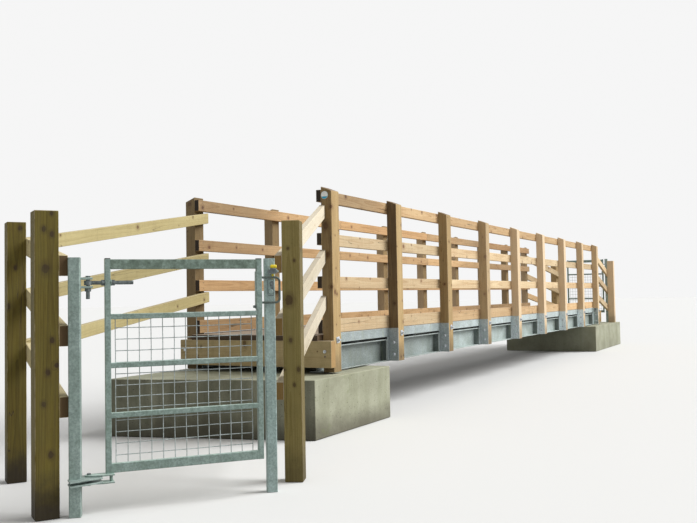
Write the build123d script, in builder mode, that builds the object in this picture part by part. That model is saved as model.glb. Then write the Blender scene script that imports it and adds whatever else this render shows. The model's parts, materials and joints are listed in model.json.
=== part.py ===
from build123d import *
import os
from math import atan2, cos, degrees, hypot, radians, sin

os.makedirs("parts", exist_ok=True)

# Footbridge: two galvanised I-beams on concrete abutments, a boarded deck, timber
# parapets outside the deck and a railed, gated approach at each end. Millimetres.
# +X runs from the near end to the far end, +Y to the left, +Z up, z = 0 is the ground.
# Lengths along the bridge are counted from the first posts' near faces, widths from
# the right posts' outward faces; both are then moved so that the whole is centred.
SHIFT_X = -4664.05
SHIFT_Y = -409.04
EDGE_Z = 785  # top of the steel edge channels above the ground
FIT = 0.3  # between pieces that seat on each other, and round the hinge pins

# Parapet posts and their bays
END_BAY = 1300
BAY = 1350
BAY_COUNT = 8
POST_W = 100  # across the bridge
POST_D = 130  # along the bridge
POST_TOP_IN = 1226  # above the edge channels, at the rail side
POST_TOP_OUT = 1187
POST_FOOT = 312  # below the top of the edge channels
WIDTH = 1500  # over the posts

# Parapet rails
RAIL_T = 45
RAIL_H = 100
KICK_RAIL_H = 115
RAIL_TOPS = (1200, 840, 480)
KICK_RAIL_TOP = 120
RAIL_JOINT = 3

# Round waymark on the first right post
WAYMARK_R = 33
WAYMARK_T = 3
WAYMARK_Y = 64
WAYMARK_Z = 1152

# Deck and what carries it
DECK_TOP = -5
DECK_T = 45
DECK_END = 75  # past the posts
DECK_GAP = 6  # to the edge channels
CHANNEL_H = 82
CHANNEL_B = 45
CHANNEL_T = 6
BEARER_H = 55
BEARER_B = 60
BEARER_WALL = 4
BEARER_GAP = 5  # to the edge channels
BEAM_TOP = -105
BEAM_H = 210
BEAM_B = 133
BEAM_FLANGE = 9
BEAM_WEB = 7
DIAPHRAGM_H = 150
DIAPHRAGM_T = 8
END_BEAM_TOP = -50
END_BEAM_H = 220
END_BEAM_T = 75
END_BEAM_OUT = 15  # past the posts' outward faces
PAD_H = 10
PAD = 150
PAD_IN = 300  # from the ends of the main beams

# Brackets that hold the posts to the beams
BRACKET_T = 6
BRACKET_LEG = 50
STIFFENER_T = 10

# Concrete abutments
SEAT_Z = EDGE_Z + BEAM_TOP - BEAM_H - PAD_H
ABUT_SIDE = 95  # past the posts
ABUT_REACH = 880  # under the bridge
NEAR_ABUT_R = 490  # in front of the bridge, right and left corner
NEAR_ABUT_L = 905
FAR_ABUT = 1600

# Approach rails and posts. A post is placed by its front corner beside the rails. Rail
# tops are below the parapet rails' tops at the bridge, and above the edge channels
# at the posts.
WING_T = 45
WING_H = 107
WING_DROP = (132, 143, 164)
RIGHT_WING_Y = 63  # outer face of the rails on the first parapet post
RIGHT_WING_FOOT = (564, 188, -194)
RIGHT_POST = 110
RIGHT_POST_AT = (-1830, -644)
RIGHT_POST_TOP = 773
PEN_FOOT = (547, 187, -175)
PEN_TOP = (700, 389, 50)
PEN_LAP = 44  # of the middle post
GATE_SIDE_POST = 120
GATE_SIDE_POST_AT = (-3001.8, -33.5)
GATE_SIDE_POST_TOP = 776
MIDDLE_POST = 112
MIDDLE_POST_AT = (-2433, 827)
MIDDLE_POST_TOP = 803
LEFT_WING_H = 92
LEFT_WING_DROP = (113, 116, 108)
LEFT_WING_FOOT = (715, 394, 79)
LEFT_WING_SEAT = 110  # along the middle post's face
LEFT_WING_SCARF = 80  # cut away where the rails meet that face
LEFT_WING_PAST = 10  # past the first left parapet post
FAR_POST = 125
FAR_POST_X = 1270  # past the bridge
FAR_RIGHT_Y = 75
FAR_LEFT_Y = 1135
FAR_POST_TOP = 945
FAR_WING_FOOT = (760, 400, 40)

# Gates. A gate is drawn along u from its hinge pin, with v towards the side that it
# opens to and z from the ground that it stands on.
NEAR_PIN = (-2874, -106)
NEAR_TURN = -39.3
NEAR_LEAF_W = 857
FAR_PIN_X = 110  # past the far wing posts
FAR_LATCH_Y = 50  # from the right wing post to the middle of the latch post
FAR_TURN = -90
FAR_LEAF_W = 760
GATE_POST = 60
GATE_POST_H = 1320
GATE_POST_WALL = 4
GATE_POST_CAP = 5
GATE_POST_TURN = 12  # posts against the leaf
HANGING_U = -69
HANGING_V = 20
LATCH_U = 66  # past the leaf
LATCH_V = -58
LEAF_IN = 84  # pin to the hanging stile
LEAF_BOTTOM = 200
LEAF_TOP = 1318
STILE = 30
TOP_RAIL = 52
TOP_RAIL_DOWN = 6
BOTTOM_RAIL = 48
MID_RAIL = 28
MID_RAIL_Z = (997, 742, 482)
MESH_D = 5
MESH_COLUMNS = 13
MESH_ROWS = 13
MESH_IN = 56
MESH_WELD = 1  # depth that crossing wires share

# Top hinge: an eye bolt through the stile, on a pin between two lugs of the post
HINGE_Z = 1189.5
PIN_R = 10
PIN_LOW = 1105
PIN_HEAD_R = 13
PIN_HEAD_H = 8
LUG_T = 12
LUG_GAP = 33
LUG = ((-39, 20), (22, 20), (22, -20), (-18, -20), (-36, -4))
EYE_R = 20
EYE_H = 24
ROD_R = 10
ROD_END = 232
NUT_R = 17.5
NUT_T = 17
WASHER_T = 5

# Bottom hinge: two plates under the leaf round two plates of the post, on a pin
PLATE_T = 8
PLATE_RUN = 0.5
PLATE_GAP = 14
PLATE_R = 22
POST_PLATE = ((-108, 66), (0, 31), (0, -22), (-50, -22), (-108, 30))
LEAF_PLATE = ((0, 22), (125, 14), (125, -22), (0, -22))
SPACER_U = (95, 125)
SPACER_V = (-14, 14)
PIN_END = 8  # past the plates

# Handle of the leaf: a loop of round bar
LOOP_R = 6.5
LOOP_OUT = 108
LOOP_TOP = 1210
LOOP_LOW = 1069
LOOP_BEND = 22

# Latch on the front of the latch post: along the face, then up from the ground
COVER_X = (-24, 26)
COVER_Z = (1233, 1319)
COVER_T = 6
CASE_X = (-10, 41)
CASE_Z = (1229, 1262)
CASE_T = 28
STRIKER_X = (-23, 19)
STRIKER_Z = (1108, 1202)
STRIKER_T = 5
BOSS = (8, 1185)
BOSS_R = 11
BOSS_OUT = 17
DOME = (0, 1135)
DOME_R = 15
DOME_OUT = 12
GRIP_X = 11
GRIP_R = 11
GRIP_L = 44
LEVER_X = (2, 18)
LEVER_Y = (4, 10)

POSTS_X = [0]
for bay in range(BAY_COUNT):
    POSTS_X.append(POSTS_X[-1] + (END_BAY if bay in (0, BAY_COUNT - 1) else BAY))
LENGTH = POSTS_X[-1] + POST_D
CUTTER = 2 * WIDTH + EDGE_Z + POST_TOP_IN  # side of a block larger than what it cuts


def box(x0, x1, y0, y1, z0, z1, mode=Mode.ADD):
    with Locations((x0 + SHIFT_X, y0 + SHIFT_Y, z0)):
        Box(x1 - x0, y1 - y0, z1 - z0, align=(Align.MIN, Align.MIN, Align.MIN), mode=mode)


def side(y0, y1, left):
    return (WIDTH - y1, WIDTH - y0) if left else (y0, y1)


def save(builder, name):
    builder.part.label = name
    export_step(builder.part, f"parts/{name}.step")


def heading(a, b):
    return degrees(atan2(b[1] - a[1], b[0] - a[0]))


def along(start, angle, distance):
    return (start[0] + distance * cos(radians(angle)), start[1] + distance * sin(radians(angle)))


def post(corner, angle, size, z0, z1, left):
    """Square post with its sides along angle, outside the rails of the left or right wing."""
    across = Align.MIN if left else Align.MAX
    with Locations(Location((corner[0] + SHIFT_X, corner[1] + SHIFT_Y, z0), (0, 0, angle))):
        Box(size, size, z1 - z0, align=(Align.MIN, across, Align.MIN))


def plank(start, end, top_start, top_end, height, left, before=0, beyond=0):
    """Sloping rail, its outer face on the line start to end, growing to the walkway."""
    dx, dy = end[0] - start[0], end[1] - start[1]
    run = hypot(dx, dy)
    rise = (top_end - top_start) / run
    at = Plane(
        origin=(start[0] + SHIFT_X, start[1] + SHIFT_Y, EDGE_Z),
        x_dir=(dx, dy, 0),
        z_dir=(dy, -dx, 0),
    )
    tops = [(u, top_start + rise * u) for u in (-before, run + beyond)]
    with BuildSketch(at) as face:
        with BuildLine():
            Polyline(*tops, *[(u, z - height) for u, z in reversed(tops)], close=True)
        make_face()
    extrude(to_extrude=face.sketch, amount=WING_T if left else -WING_T)


def cut_left_of(point, angle):
    """Take off what lies to the left of the line through point along angle."""
    with Locations(Location((point[0] + SHIFT_X, point[1] + SHIFT_Y, 0), (0, 0, angle))):
        Box(CUTTER, CUTTER, CUTTER, align=(Align.CENTER, Align.MIN, Align.MIN),
            mode=Mode.SUBTRACT)


# Parapets with the steel below them, the same on both sides
for left in (False, True):
    hand = "left" if left else "right"

    with BuildPart() as posts:
        y0, y1 = side(0, POST_W, left)
        z_low, z_high = (POST_TOP_IN, POST_TOP_OUT) if left else (POST_TOP_OUT, POST_TOP_IN)
        for x in POSTS_X:
            with BuildSketch(Plane.YZ.offset(x + SHIFT_X)):
                with BuildLine():
                    Polyline(
                        (y0 + SHIFT_Y, EDGE_Z - POST_FOOT),
                        (y1 + SHIFT_Y, EDGE_Z - POST_FOOT),
                        (y1 + SHIFT_Y, EDGE_Z + z_high),
                        (y0 + SHIFT_Y, EDGE_Z + z_low),
                        close=True,
                    )
                make_face()
            extrude(amount=POST_D)
    save(posts, f"{hand}_parapet_posts")

    y0, y1 = side(POST_W, POST_W + RAIL_T, left)
    for name, top, height in (
        ("top_rail", RAIL_TOPS[0], RAIL_H),
        ("upper_rail", RAIL_TOPS[1], RAIL_H),
        ("lower_rail", RAIL_TOPS[2], RAIL_H),
        ("kick_rail", KICK_RAIL_TOP, KICK_RAIL_H),
    ):
        with BuildPart() as rail:
            starts = [0] + [x + POST_D / 2 for x in POSTS_X[2:-1:2]] + [LENGTH]
            for a, b in zip(starts, starts[1:]):
                box(a + (RAIL_JOINT if a else 0), b, y0, y1,
                    EDGE_Z + top - height, EDGE_Z + top)
        save(rail, f"{hand}_{name}")

    with BuildPart() as channel:
        y0, y1 = side(POST_W, POST_W + CHANNEL_T, left)
        box(POST_D, LENGTH - POST_D, y0, y1, EDGE_Z - CHANNEL_H, EDGE_Z)
        y0, y1 = side(POST_W, POST_W + CHANNEL_B, left)
        box(POST_D, LENGTH - POST_D, y0, y1, EDGE_Z - CHANNEL_H,
            EDGE_Z - CHANNEL_H + CHANNEL_T)
    save(channel, f"{hand}_edge_channel")

    with BuildPart() as beam:
        y0, y1 = side(POST_W, POST_W + BEAM_B, left)
        top = EDGE_Z + BEAM_TOP
        box(0, LENGTH, y0, y1, top - BEAM_FLANGE, top)
        box(0, LENGTH, y0, y1, top - BEAM_H, top - BEAM_H + BEAM_FLANGE)
        web = (y0 + y1) / 2
        box(0, LENGTH, web - BEAM_WEB / 2, web + BEAM_WEB / 2, top - BEAM_H, top)
        for x in POSTS_X[1:]:
            box(x - BRACKET_LEG - STIFFENER_T, x - BRACKET_LEG, y0, y1, top - BEAM_H, top)
    save(beam, f"{hand}_main_beam")

    with BuildPart() as brackets:
        for x in POSTS_X[1:]:
            y0, y1 = side(0, POST_W - FIT, left)
            box(x - BRACKET_T, x, y0, y1, EDGE_Z - POST_FOOT, EDGE_Z)
            y0, y1 = side(POST_W - BRACKET_T, POST_W, left)
            box(x - BRACKET_LEG, x, y0, y1, EDGE_Z - POST_FOOT, EDGE_Z - CHANNEL_H)
    save(brackets, f"{hand}_post_brackets")

with BuildPart() as waymark:
    with BuildSketch(Plane.YZ.offset(SHIFT_X)):
        with Locations((WAYMARK_Y + SHIFT_Y, EDGE_Z + WAYMARK_Z)):
            Circle(WAYMARK_R)
    extrude(amount=-WAYMARK_T)
save(waymark, "waymark_disc")

# Deck and the steel across the bridge
with BuildPart() as deck:
    y0 = POST_W + CHANNEL_T + DECK_GAP
    box(-DECK_END, LENGTH + DECK_END, y0, WIDTH - y0,
        EDGE_Z + DECK_TOP - DECK_T, EDGE_Z + DECK_TOP)
save(deck, "deck")

with BuildPart() as bearers:
    z1 = EDGE_Z + DECK_TOP - DECK_T
    y0 = POST_W + CHANNEL_B + BEARER_GAP
    middles = [(a + b) / 2 for a, b in zip(POSTS_X, POSTS_X[1:])]
    for x in sorted(POSTS_X + middles):
        at = x + POST_D / 2
        box(at - BEARER_B / 2, at + BEARER_B / 2, y0, WIDTH - y0, z1 - BEARER_H, z1)
        inside = BEARER_B / 2 - BEARER_WALL
        box(at - inside, at + inside, y0, WIDTH - y0,
            z1 - BEARER_H + BEARER_WALL, z1 - BEARER_WALL, mode=Mode.SUBTRACT)
save(bearers, "deck_cross_bearers")

with BuildPart() as diaphragms:
    y0 = POST_W + (BEAM_B + BEAM_WEB) / 2
    middle = EDGE_Z + BEAM_TOP - BEAM_H / 2
    for x in POSTS_X[::2]:
        at = x + POST_D / 2
        box(at - DIAPHRAGM_T / 2, at + DIAPHRAGM_T / 2, y0, WIDTH - y0,
            middle - DIAPHRAGM_H / 2, middle + DIAPHRAGM_H / 2)
save(diaphragms, "beam_diaphragms")

for name, x0 in (("near_end_beam", -END_BEAM_T), ("far_end_beam", LENGTH)):
    with BuildPart() as end_beam:
        box(x0, x0 + END_BEAM_T, -END_BEAM_OUT, WIDTH + END_BEAM_OUT,
            EDGE_Z + END_BEAM_TOP - END_BEAM_H, EDGE_Z + END_BEAM_TOP)
    save(end_beam, name)

with BuildPart() as pads:
    for x in (PAD_IN, LENGTH - PAD_IN - PAD):
        for y in (POST_W, WIDTH - POST_W - PAD):
            box(x, x + PAD, y, y + PAD, SEAT_Z, SEAT_Z + PAD_H)
save(pads, "bearing_pads")

with BuildPart() as near_abutment:
    with BuildSketch(Plane.XY):
        with BuildLine():
            Polyline(
                (-NEAR_ABUT_R + SHIFT_X, -ABUT_SIDE + SHIFT_Y),
                (ABUT_REACH + SHIFT_X, -ABUT_SIDE + SHIFT_Y),
                (ABUT_REACH + SHIFT_X, WIDTH + ABUT_SIDE + SHIFT_Y),
                (-NEAR_ABUT_L + SHIFT_X, WIDTH + ABUT_SIDE + SHIFT_Y),
                close=True,
            )
        make_face()
    extrude(amount=SEAT_Z)
save(near_abutment, "near_abutment")

with BuildPart() as far_abutment:
    box(LENGTH - ABUT_REACH, LENGTH + FAR_ABUT, -ABUT_SIDE, WIDTH + ABUT_SIDE, 0, SEAT_Z)
save(far_abutment, "far_abutment")

# Near approach, right wing: the rails butt on the first parapet post
wing_tops = [top - drop for top, drop in zip(RAIL_TOPS, WING_DROP)]
right_foot = (0, RIGHT_WING_Y)
with BuildPart() as right_post:
    post(RIGHT_POST_AT, heading(RIGHT_POST_AT, right_foot), RIGHT_POST,
         0, EDGE_Z + RIGHT_POST_TOP, False)
save(right_post, "near_right_wing_post")
with BuildPart() as right_wing:
    for low, high in zip(RIGHT_WING_FOOT, wing_tops):
        plank(RIGHT_POST_AT, right_foot, low, high, WING_H, False, beyond=WING_T)
    cut_left_of((0, 0), -90)
save(right_wing, "near_right_wing_rails")

# Near approach, left wing: rails from the gate to the middle post, and from there to
# the inner face of the first parapet post
pen_angle = heading(GATE_SIDE_POST_AT, MIDDLE_POST_AT)
with BuildPart() as gate_side_post:
    post(GATE_SIDE_POST_AT, pen_angle, GATE_SIDE_POST, 0, EDGE_Z + GATE_SIDE_POST_TOP, True)
save(gate_side_post, "near_left_gate_side_post")
with BuildPart() as middle_post:
    post(MIDDLE_POST_AT, pen_angle, MIDDLE_POST, 0, EDGE_Z + MIDDLE_POST_TOP, True)
save(middle_post, "near_left_middle_post")
with BuildPart() as pen:
    for low, high in zip(PEN_FOOT, PEN_TOP):
        plank(GATE_SIDE_POST_AT, MIDDLE_POST_AT, low, high, WING_H, True, beyond=PEN_LAP)
save(pen, "near_left_gate_side_rails")
with BuildPart() as left_wing:
    seat = along(MIDDLE_POST_AT, pen_angle, LEFT_WING_SEAT)
    left_foot = (POST_D, WIDTH - POST_W - FIT)
    for low, top, drop in zip(LEFT_WING_FOOT, RAIL_TOPS, LEFT_WING_DROP):
        plank(seat, left_foot, low, top - drop, LEFT_WING_H, True,
              before=LEFT_WING_SCARF, beyond=LEFT_WING_PAST)
    cut_left_of(MIDDLE_POST_AT, pen_angle)
save(left_wing, "near_left_wing_rails")

# Far approach: a short run of rails each side, butted on the last parapet posts
far_x = LENGTH + FAR_POST_X
for left, foot_y in ((False, FAR_RIGHT_Y), (True, FAR_LEFT_Y)):
    hand = "left" if left else "right"
    start = (LENGTH, side(POST_W - WING_T, POST_W, left)[1 if left else 0])
    foot = (far_x, foot_y)
    with BuildPart() as far_post:
        post(foot, heading(start, foot), FAR_POST, SEAT_Z, EDGE_Z + FAR_POST_TOP, left)
    save(far_post, f"far_{hand}_wing_post")
    with BuildPart() as far_wing:
        for high, low in zip(wing_tops, FAR_WING_FOOT):
            plank(start, foot, high, low, WING_H, left, before=WING_T, beyond=FAR_POST)
        cut_left_of((LENGTH, 0), 90)
    save(far_wing, f"far_{hand}_wing_rails")


# Gates: hollow posts, a welded leaf with a mesh panel, its hinges, handle and latch
def gate(prefix, pin, turn, width, out, ground):
    """Gate hung on pin, its leaf along turn; out is 1 if it opens to the left, or -1."""
    at = Location((pin[0] + SHIFT_X, pin[1] + SHIFT_Y, ground), (0, 0, turn))
    turned = (0, 0, GATE_POST_TURN * out)
    end = LEAF_IN + width
    half = STILE / 2
    middle = (Align.CENTER, Align.CENTER, Align.MIN)
    upper_leaf = LEAF_BOTTOM - PLATE_T
    upper_post = upper_leaf - PLATE_RUN - PLATE_T
    lower_post = upper_post - PLATE_GAP - PLATE_T
    lower_leaf = lower_post - PLATE_RUN - PLATE_T
    lugs_z = (HINGE_Z - LUG_GAP / 2 - LUG_T, HINGE_Z + LUG_GAP / 2)

    def bar(u0, u1, v0, v1, z0, z1, frame=at):
        low, high = sorted((v0 * out, v1 * out))
        with Locations(frame * Location((u0, low, z0))):
            Box(u1 - u0, high - low, z1 - z0, align=(Align.MIN, Align.MIN, Align.MIN))

    def drum(radius, z0, z1, mode=Mode.ADD):
        with Locations(at * Location((0, 0, z0))):
            Cylinder(radius, z1 - z0, align=middle, mode=mode)

    def rod(radius, u0, u1, z):
        with Locations(at * Location((u0, 0, z), (0, 90, 0))):
            Cylinder(radius, u1 - u0, align=middle)

    def stud(radius, x, z, y0, y1, frame):
        with Locations(frame * Location((x, y0 * out, z), (-90 * out, 0, 0))):
            Cylinder(radius, y1 - y0, align=middle)

    def plate(points, z0, thickness):
        with BuildSketch(Plane(at * Location((0, 0, z0)))) as outline:
            with BuildLine():
                Polyline(*[(u, v * out) for u, v in points], close=True)
            make_face()
        extrude(to_extrude=outline.sketch, amount=thickness)

    def hollow_post(frame):
        with Locations(frame):
            Box(GATE_POST, GATE_POST, GATE_POST_H, align=middle)
            room = GATE_POST - 2 * GATE_POST_WALL
            Box(room, room, GATE_POST_H - GATE_POST_CAP, align=middle, mode=Mode.SUBTRACT)

    with BuildPart() as frame:
        bar(LEAF_IN, LEAF_IN + STILE, -half, half, LEAF_BOTTOM, LEAF_TOP)
        bar(end - STILE, end, -half, half, LEAF_BOTTOM, LEAF_TOP)
        top = LEAF_TOP - TOP_RAIL_DOWN
        bar(LEAF_IN, end, -half, half, top - TOP_RAIL, top)
        bar(LEAF_IN, end, -half, half, LEAF_BOTTOM, LEAF_BOTTOM + BOTTOM_RAIL)
        for z in MID_RAIL_Z:
            bar(LEAF_IN, end, -half, half, z, z + MID_RAIL)
        rod(ROD_R, 0, ROD_END, HINGE_Z)
        rod(NUT_R, LEAF_IN - NUT_T, LEAF_IN, HINGE_Z)
        inner = LEAF_IN + STILE
        rod(NUT_R, inner, inner + WASHER_T + NUT_T, HINGE_Z)
        drum(EYE_R, HINGE_Z - EYE_H / 2, HINGE_Z + EYE_H / 2)
        drum(PIN_R + FIT, HINGE_Z - EYE_H / 2, HINGE_Z + EYE_H / 2, Mode.SUBTRACT)
        for z in (upper_leaf, lower_leaf):
            plate(LEAF_PLATE, z, PLATE_T)
            drum(PLATE_R, z, z + PLATE_T)
            drum(PIN_R + FIT, z, z + PLATE_T, Mode.SUBTRACT)
        bar(*SPACER_U, *SPACER_V, lower_leaf + PLATE_T, upper_leaf)
    save(frame, f"{prefix}_gate_frame")

    with BuildPart() as mesh:
        first = LEAF_IN + MESH_IN
        last = end - MESH_IN
        low = LEAF_BOTTOM + BOTTOM_RAIL / 2
        high = MID_RAIL_Z[0] + MID_RAIL / 2
        back = -half - MESH_D
        for i in range(MESH_COLUMNS):
            u = first + i * (last - first) / (MESH_COLUMNS - 1)
            bar(u - MESH_D / 2, u + MESH_D / 2, back, -half, low, high)
        for j in range(1, MESH_ROWS):
            z = low + j * (high - low) / MESH_ROWS
            bar(first - MESH_D / 2, last + MESH_D / 2, back - MESH_D + MESH_WELD,
                back + MESH_WELD, z - MESH_D / 2, z + MESH_D / 2)
    save(mesh, f"{prefix}_gate_mesh")

    with BuildPart() as handle:
        with BuildLine(Plane(at * Location((end, 0, 0), (90, 0, 0)))) as loop:
            FilletPolyline((0, LOOP_TOP), (LOOP_OUT, LOOP_TOP), (LOOP_OUT, LOOP_LOW),
                           (0, LOOP_LOW), radius=LOOP_BEND)
        with BuildSketch(Plane(origin=loop.line @ 0, z_dir=loop.line % 0)):
            Circle(LOOP_R)
        sweep()
    save(handle, f"{prefix}_gate_handle")

    with BuildPart() as hanging:
        hollow_post(at * Location((HANGING_U, HANGING_V * out, 0), turned))
        for z in lugs_z:
            plate(LUG, z, LUG_T)
        drum(PIN_R, PIN_LOW, lugs_z[1])
        drum(NUT_R, lugs_z[0] - NUT_T, lugs_z[0])
        head_z = lugs_z[1] + LUG_T
        drum(PIN_HEAD_R, head_z, head_z + PIN_HEAD_H)
        for z in (upper_post, lower_post):
            plate(POST_PLATE, z, PLATE_T)
            drum(PLATE_R, z, z + PLATE_T)
        drum(PIN_R, lower_leaf - PIN_END, LEAF_BOTTOM + PIN_END)
    save(hanging, f"{prefix}_gate_hanging_post")

    latch_at = at * Location((end + LATCH_U, LATCH_V * out, 0), turned)
    with BuildPart() as latch_post:
        hollow_post(latch_at)
    save(latch_post, f"{prefix}_gate_latch_post")

    face = GATE_POST / 2
    with BuildPart() as latch:
        bar(*COVER_X, face, face + COVER_T, *COVER_Z, latch_at)
        bar(*CASE_X, face + COVER_T, face + COVER_T + CASE_T, *CASE_Z, latch_at)
        bar(*STRIKER_X, face, face + STRIKER_T, *STRIKER_Z, latch_at)
        stud(BOSS_R, *BOSS, face, face + BOSS_OUT, latch_at)
        stud(DOME_R, *DOME, face, face + DOME_OUT, latch_at)
    save(latch, f"{prefix}_gate_latch")
    with BuildPart() as grip:
        grip_z = CASE_Z[1] + GRIP_R
        start = face + COVER_T
        stud(GRIP_R, GRIP_X, grip_z, start, start + GRIP_L, latch_at)
        bar(GRIP_X - GRIP_R, GRIP_X + GRIP_R, start, start + GRIP_L, CASE_Z[1], grip_z,
            latch_at)
        bar(*LEVER_X, face + LEVER_Y[0], face + LEVER_Y[1], STRIKER_Z[1], CASE_Z[0],
            latch_at)
    save(grip, f"{prefix}_gate_latch_grip")


gate("near", NEAR_PIN, NEAR_TURN, NEAR_LEAF_W, -1, 0)
far_pin = (
    far_x + FAR_POST + FAR_PIN_X,
    FAR_RIGHT_Y + FAR_LATCH_Y + LATCH_U + FAR_LEAF_W + LEAF_IN,
)
gate("far", far_pin, FAR_TURN, FAR_LEAF_W, 1, SEAT_Z)
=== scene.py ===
import json
from math import cos, pi, radians, sin
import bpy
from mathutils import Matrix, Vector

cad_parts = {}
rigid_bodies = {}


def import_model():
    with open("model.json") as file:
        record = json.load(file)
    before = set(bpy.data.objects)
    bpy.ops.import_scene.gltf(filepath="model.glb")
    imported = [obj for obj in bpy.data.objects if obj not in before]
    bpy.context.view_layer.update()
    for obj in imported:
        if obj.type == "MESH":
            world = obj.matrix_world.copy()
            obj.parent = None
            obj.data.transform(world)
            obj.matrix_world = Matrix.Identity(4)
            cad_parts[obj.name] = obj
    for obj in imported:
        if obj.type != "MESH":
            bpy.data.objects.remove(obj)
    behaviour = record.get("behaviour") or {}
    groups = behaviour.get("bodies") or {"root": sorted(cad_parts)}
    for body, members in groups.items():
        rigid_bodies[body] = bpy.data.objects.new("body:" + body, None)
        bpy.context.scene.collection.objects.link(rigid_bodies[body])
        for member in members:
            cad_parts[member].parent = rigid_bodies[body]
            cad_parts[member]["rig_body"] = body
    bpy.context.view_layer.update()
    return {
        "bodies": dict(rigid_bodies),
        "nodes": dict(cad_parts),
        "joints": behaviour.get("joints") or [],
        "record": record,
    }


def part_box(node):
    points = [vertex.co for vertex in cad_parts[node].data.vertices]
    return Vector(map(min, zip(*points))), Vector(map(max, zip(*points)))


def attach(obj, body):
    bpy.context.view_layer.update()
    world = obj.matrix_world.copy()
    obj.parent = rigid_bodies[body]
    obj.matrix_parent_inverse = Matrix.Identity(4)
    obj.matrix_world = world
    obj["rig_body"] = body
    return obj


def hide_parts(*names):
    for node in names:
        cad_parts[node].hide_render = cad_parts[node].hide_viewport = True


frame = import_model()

from types import SimpleNamespace

import bmesh
import bpy
from mathutils import Matrix, Vector
from mathutils.geometry import convex_hull_2d

nodes = frame["nodes"]


# Concrete abutments: two blocks of cast concrete, one at each bank, that the steel beams
# stand on. They are cast in plain shutters, with small air holes in the faces, and damp
# and soil near the ground.

class Reading:
    """What a node puts out, which adds and multiplies with others and with numbers."""

    def __init__(self, socket):
        self.socket, self.tree = socket, socket.id_data

    def __getitem__(self, which):
        return Reading(self.socket.node.outputs[which])

    def math(self, kind, *others):
        return put(self.tree, "ShaderNodeMath", self, *others, operation=kind)

    def __add__(self, other):
        return self.math("ADD", other)

    def __sub__(self, other):
        return self.math("SUBTRACT", other)

    def __rsub__(self, other):
        return put(self.tree, "ShaderNodeMath", other, self, operation="SUBTRACT")

    def __mul__(self, other):
        return self.math("MULTIPLY", other)

    def __truediv__(self, other):
        return self.math("DIVIDE", other)

    def vector(self, kind, *others, get=0):
        return put(self.tree, "ShaderNodeVectorMath", self, *others, operation=kind, get=get)

    def stretch(self, *by):
        return self.vector("MULTIPLY", by)

    def parts(self):
        """The x, y and z of a vector."""
        made = put(self.tree, "ShaderNodeSeparateXYZ", self)
        return made, made[1], made[2]

    def step(self, low, high, to_low=0.0, to_high=1.0):
        """Smooth step from low to high."""
        return put(self.tree, "ShaderNodeMapRange", self, low, high, to_low, to_high,
                   interpolation_type="SMOOTHSTEP")

    def noise(self, scale, detail, rough, get=0):
        return put(self.tree, "ShaderNodeTexNoise", Vector=self, Scale=scale, Detail=detail,
                   Roughness=rough, get=get)


def put(tree, kind, *values, get=0, **more):
    """Adds a node: values fill its inputs in order, more its settings or inputs by name."""
    made = tree.nodes.new(kind)
    settings = [key for key in more if key in made.bl_rna.properties]
    for key in settings:
        setattr(made, key, more.pop(key))
    named = [(made.inputs[key.replace("_", " ")], value) for key, value in more.items()]
    for socket, value in [*zip(made.inputs, values), *named]:
        join(socket, value)
    return Reading(made.outputs[get])


def join(socket, value):
    """Links a socket to a reading, or sets its own value."""
    if isinstance(value, Reading):
        value.tree.links.new(value.socket, socket)
    elif value is not None:
        socket.default_value = (*value, 1) if socket.type == "RGBA" else value


def mixed(share, a, b):
    return put(share.tree, "ShaderNodeMix", share, *[None] * 5, a, b, data_type="RGBA", get=2)


def coats(colour, *layers):
    """A colour with each share of a tint laid over it in turn."""
    for share, tint in layers:
        colour = mixed(share, colour, tint)
    return colour


def scaled(vector, by):
    return put(by.tree, "ShaderNodeVectorMath", vector, None, None, by, operation="SCALE")


def facing_in(tree):
    """The x, y and z of the way that a surface faces."""
    return put(tree, "ShaderNodeNewGeometry", get=1).parts()


def finish_of(name):
    """New material, its tree, and the place on the object."""
    made = bpy.data.materials.new(name)
    made.use_nodes = True
    return made, made.node_tree, put(made.node_tree, "ShaderNodeTexCoord", get=3)


def coated(tree, colour, rough, height=None, strength=0.0, depth=0.0):
    """Joins colour, roughness and relief to a material's shader, and returns that."""
    shader = tree.nodes["Principled BSDF"]
    join(shader.inputs["Base Color"], colour)
    join(shader.inputs["Roughness"], rough)
    if height:
        join(shader.inputs["Normal"], put(tree, "ShaderNodeBump", Strength=strength,
                                          Distance=depth, Height=height))
    return shader


def group(name, kind, **inputs):
    """Node group with inputs listed by what they hold: its tree, and the inputs."""
    tree = bpy.data.node_groups.new(name, kind + "NodeTree")
    for holds, titles in inputs.items():
        for title in titles.split():
            tree.interface.new_socket(title, in_out="INPUT",
                                      socket_type="NodeSocket" + holds)
    entry = tree.nodes.new("NodeGroupInput")
    return tree, SimpleNamespace(**{s.name: Reading(s) for s in entry.outputs if s.name})


def gives(tree, **readings):
    """Puts readings out of a node group under these names."""
    kinds = {"colour": "Color", "geometry": "Geometry"}
    for title in readings:
        tree.interface.new_socket(title, in_out="OUTPUT",
                                  socket_type="NodeSocket" + kinds.get(title, "Float"))
    out = tree.nodes.new("NodeGroupOutput")
    for title, reading in readings.items():
        join(out.inputs[title], reading)


def placed(tree, built, **values):
    """A node group in a material's tree, with its inputs set: its outputs."""
    made = tree.nodes.new("ShaderNodeGroup")
    made.node_tree = built
    for title, value in values.items():
        join(made.inputs[title], value)
    return SimpleNamespace(**{s.name: Reading(s) for s in made.outputs})


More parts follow.
